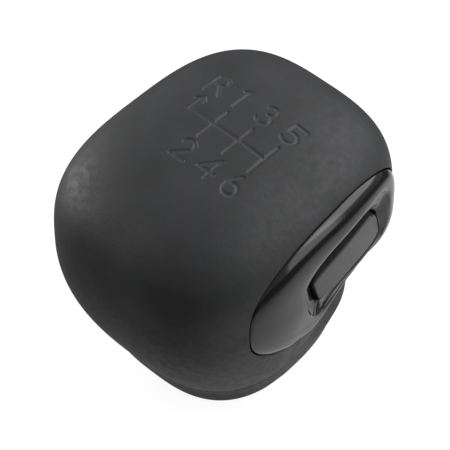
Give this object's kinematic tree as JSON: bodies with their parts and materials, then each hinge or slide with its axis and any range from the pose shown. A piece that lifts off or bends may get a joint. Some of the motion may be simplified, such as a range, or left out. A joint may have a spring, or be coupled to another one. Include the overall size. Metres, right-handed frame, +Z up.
{
  "type": "gear shift knob",
  "caption": "Soft-skinned gear shift knob with a gate pattern on top, a gloss side bezel and a push button that lifts an inner release collar.",
  "frame": {"origin": "middle of the lever bore's mouth, level with the neck's bottom edge", "axes": "+Z up along the lever, +Y to the front where the pattern's odd gears are, +X to the side with the release button"},
  "size_m": [0.0601, 0.0728, 0.0618],
  "materials": {
    "soft_skin": "fine matt grain, charcoal",
    "core_plastic": "moulded, matt",
    "gloss_black": "high gloss black",
    "button_black": "satin gloss black",
    "guide_plastic": "moulded, glass filled",
    "slide_plastic": "natural acetal",
    "spring_steel": "bright drawn wire",
    "bush_steel": "turned",
    "rubber": "matt",
    "screw_steel": "yellow passivated zinc"
  },
  "bodies": {
    "knob": {"core_lower": "core_plastic", "core_upper": "core_plastic", "grip_skin": "soft_skin", "side_bezel": "gloss_black", "button_guide": "guide_plastic", "button_spring_front": "spring_steel", "button_spring_rear": "spring_steel", "stop_buffer": "rubber", "lifter_spring": "spring_steel", "lever_socket": "guide_plastic", "lever_bush": "bush_steel", "lever_clip": "spring_steel", "anti_rattle_ring": "rubber", "base_plate": "core_plastic", "base_screw_1": "screw_steel", "base_screw_2": "screw_steel", "base_screw_3": "screw_steel", "base_screw_4": "screw_steel", "bezel_screw_front": "screw_steel", "bezel_screw_rear": "screw_steel"},
    "button": {"release_button": "button_black"},
    "release": {"lifter": "slide_plastic"}
  },
  "joints": [
    {"name": "button_push", "type": "slide", "parent": "knob", "child": "button", "axis": [-1, 0, 0], "range_m": [0, 0.004], "stiffness_N_per_m": 700, "springref_m": -0.003, "deforming": ["button_spring_front", "button_spring_rear"]},
    {"name": "release_lift", "type": "slide", "parent": "knob", "child": "release", "axis": [0, 0, 1], "range_m": [0, 0.004], "stiffness_N_per_m": 300, "springref_m": -0.004, "deforming": ["lifter_spring"]}
  ],
  "couplings": [
    {"joint": "release_lift", "follows": "button_push", "ratio": 1}
  ]
}
